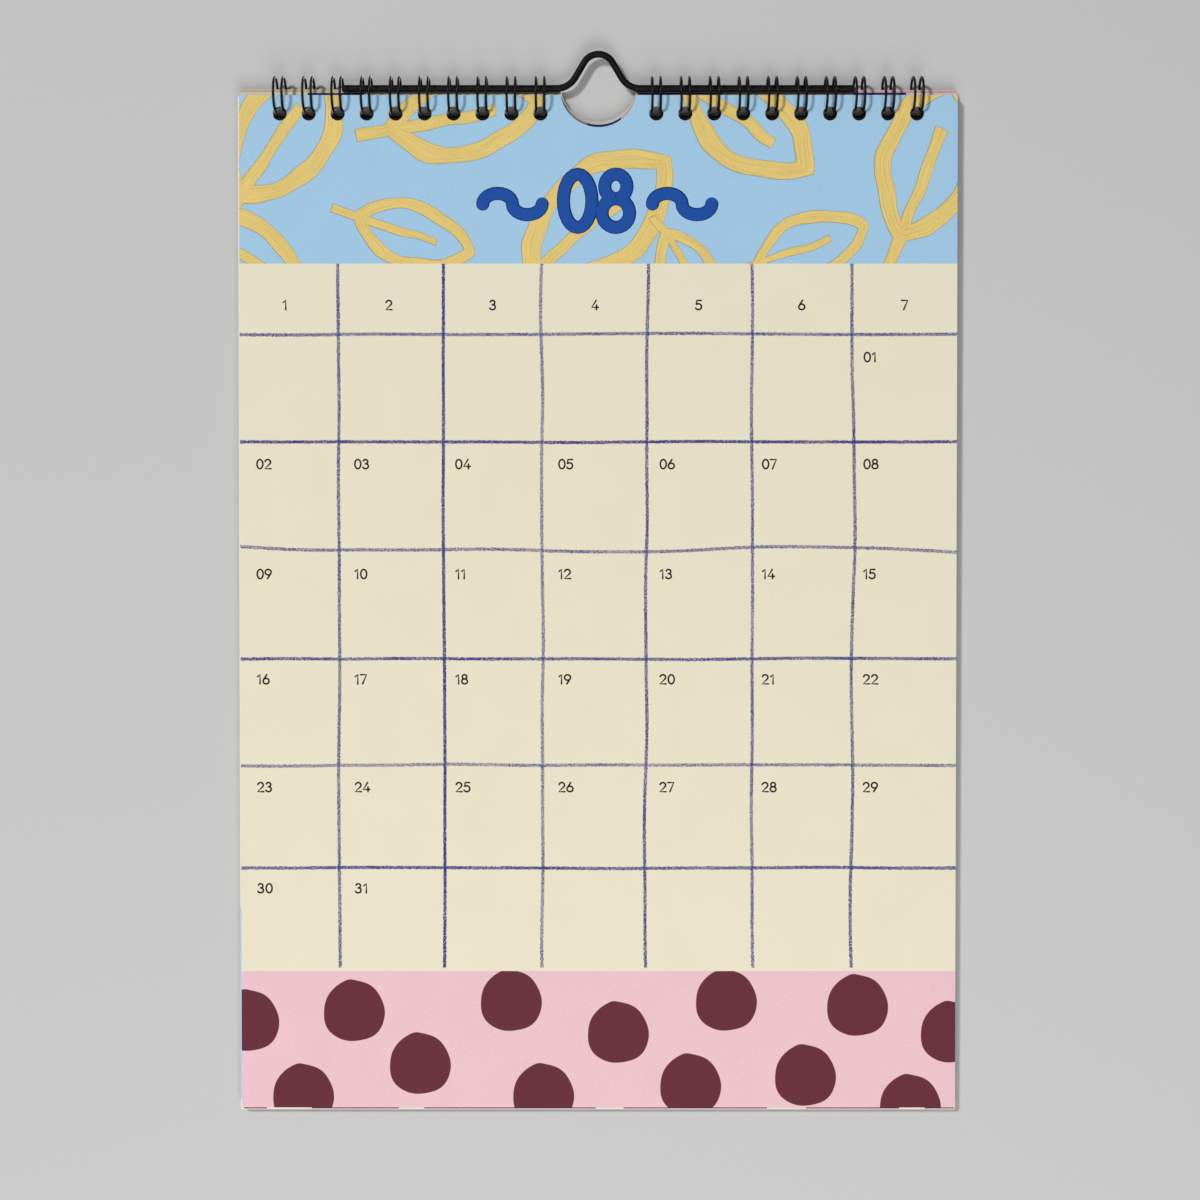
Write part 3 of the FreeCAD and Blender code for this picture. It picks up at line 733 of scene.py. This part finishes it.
def inkMaterial(name, colour):
    material, tree, shader = newMaterial(name, inkLook["roughness"], inkLook["specular"])
    grain = useGroup(tree, paperGrain, Place=pagePlace(tree)[0])
    plug(tree, vectorCalc(tree, "SCALE", colour[:3], scale=grain["Tone"]), shader.inputs["Base Color"])
    return material


# A half is half a number's width, as a share of its height.
calendarPage = {
    "dateHeight": 2.68, "dateWeight": 0.5, "dateStretch": 1.2, "dateHalf": 0.68, "dayMarkHalf": 0.3,
    "columns": [-98.0, -69.3, -39.7, -9.5, 20.2, 50.2, 79.9],
    "rows": [-87.6, -118.9, -151.1, -182.0, -213.7, -243.5],
    "firstColumn": 6, "days": 31,
    "dayMarks": [-91.4, -61.3, -30.9, -1.0, 29.4, 59.5, 89.7], "dayMarkRow": -72.4,
    "month": "~ 08 ~", "monthHeight": 15.5, "monthWeight": 3.9, "monthCentre": (0.3, -42.0),
    "monthHalf": 2.2,
}


def writeMonth(name, page, face, body, dateInk, monthInk):
    height, wide = page["dateHeight"], page["dateStretch"]
    words = []
    for day in range(1, page["days"] + 1):
        cell = page["firstColumn"] + day - 1
        x, z = page["columns"][cell % 7], page["rows"][cell // 7]
        left = x - page["dateHalf"] * height * wide
        words.append((f"{day:02d}", left, z - height / 2, height, wide))
    for number, x in enumerate(page["dayMarks"], start=1):
        left = x - page["dayMarkHalf"] * height * wide
        words.append((str(number), left, page["dayMarkRow"] - height / 2, height, wide))
    writeNumbers(name + "Dates", words, page["dateWeight"], dateInk, body, face)
    tall = page["monthHeight"]
    x, z = page["monthCentre"]
    word = (page["month"], x - page["monthHalf"] * tall, z - tall / 2, tall, 1.0)
    writeNumbers(name + "Month", [word], page["monthWeight"], monthInk, body, face)


dateInk = inkMaterial("dateInk", srgb(20, 16, 18))
monthInk = inkMaterial("monthInk", srgb(20, 76, 160))
writeMonth("front", calendarPage, frontPage["face"], "front_sheet", dateInk, monthInk)
# The next month starts one weekday later than this one ends.
laterPage = dict(calendarPage, month="~ 09 ~", days=30, firstColumn=2)
laterFace = otherPapers["later_sheets"]["front"]
laterInk = inkMaterial("laterInk", maroon)
writeMonth("later", laterPage, laterFace, "binding", dateInk, laterInk)
print("numbers written")


# Wall, light and camera

wallLook = {"size": 3.0, "tilt": 0.26, "foot": (0.0, 0.00268, -0.308), "colour": srgb(199, 199, 199)}


def buildWall(look):
    mesh = bmesh.new()
    turn = Matrix.Rotation(math.radians(90 - look["tilt"]), 4, "X")
    place = Matrix.Translation(look["foot"]) @ turn
    bmesh.ops.create_grid(mesh, x_segments=1, y_segments=1, size=look["size"] / 2, matrix=place)
    data = bpy.data.meshes.new("wall")
    mesh.to_mesh(data)
    mesh.free()
    wall = bpy.data.objects.new("wall", data)
    bpy.context.scene.collection.objects.link(wall)
    material, tree = emptyMaterial("wallGrey")
    shader = addNode(tree, "ShaderNodeBsdfDiffuse", {"Color": look["colour"]})
    # From behind, the wall is out of the way, also for the light on the calendar's back. Light that has
    # bounced before still meets it, so that its shadows on the front side stay deep.
    clear = addNode(tree, "ShaderNodeBsdfTransparent")
    back = addNode(tree, "ShaderNodeNewGeometry").outputs["Backfacing"]
    path = tree.nodes.new("ShaderNodeLightPath").outputs
    first = calc(tree, "LESS_THAN", path["Ray Depth"], 1.5)
    light = calc(tree, "MAXIMUM", path["Is Shadow Ray"], path["Is Diffuse Ray"])
    unseen = calc(tree, "MULTIPLY", light, first)
    mixed = mixShaders(tree, calc(tree, "MAXIMUM", back, unseen), shader.outputs[0], clear.outputs[0])
    addNode(tree, "ShaderNodeOutputMaterial", {"Surface": mixed})
    data.materials.append(material)
    return wall


buildWall(wallLook)

lightLook = {
    "aim": (0.0, -0.0013, -0.16),
    "key": {"way": (-0.47, -1.0, 0.4), "distance": 3.5, "size": 0.455, "power": 67.6},
    "fill": {"way": (0.08, -1.0, -0.8), "distance": 1.2, "size": 0.8, "power": 7.5},
    "rear": {"way": (0.3, 1.0, 0.45), "distance": 2.5, "size": 0.9, "power": 38.0},
    "world": 0.15, "backdrop": srgb(214, 214, 214),
}


def addLamp(name, aim, look):
    way = Vector(look["way"]).normalized()
    data = bpy.data.lights.new(name, "AREA")
    data.shape = "DISK"
    data.size = look["size"]
    data.energy = look["power"]
    lamp = bpy.data.objects.new(name, data)
    lamp.location = Vector(aim) + way * look["distance"]
    lamp.rotation_euler = way.to_track_quat("Z", "Y").to_euler()
    bpy.context.scene.collection.objects.link(lamp)


def lightScene(look):
    addLamp("keyLight", look["aim"], look["key"])
    addLamp("fillLight", look["aim"], look["fill"])
    addLamp("rearLight", look["aim"], look["rear"])
    world = bpy.data.worlds.new("studio")
    world.use_nodes = True
    tree = world.node_tree
    tree.nodes.clear()
    path = tree.nodes.new("ShaderNodeLightPath").outputs
    seen = calc(tree, "MAXIMUM", path["Is Camera Ray"], path["Is Transmission Ray"])
    soft = addNode(tree, "ShaderNodeBackground", {"Color": (1, 1, 1, 1), "Strength": look["world"]})
    pale = addNode(tree, "ShaderNodeBackground", {"Color": look["backdrop"], "Strength": 1.0})
    mixed = mixShaders(tree, seen, soft.outputs[0], pale.outputs[0])
    addNode(tree, "ShaderNodeOutputWorld", {"Surface": mixed})
    bpy.context.scene.world = world


lightScene(lightLook)

cameraLook = {
    "place": (0.00087, -0.65122, -0.14683), "pitch": -1.048, "yaw": 0.035, "lens": 66.48, "sensor": 36.0,
}


def placeCamera(look):
    data = bpy.data.cameras.new("camera")
    data.sensor_width = look["sensor"]
    data.lens = look["lens"]
    data.clip_start = 0.01
    camera = bpy.data.objects.new("camera", data)
    camera.location = look["place"]
    camera.rotation_euler = (math.radians(90 + look["pitch"]), 0, math.radians(look["yaw"]))
    bpy.context.scene.collection.objects.link(camera)
    bpy.context.scene.camera = camera


placeCamera(cameraLook)
bpy.context.scene.view_settings.view_transform = "Standard"
print("scene lit")
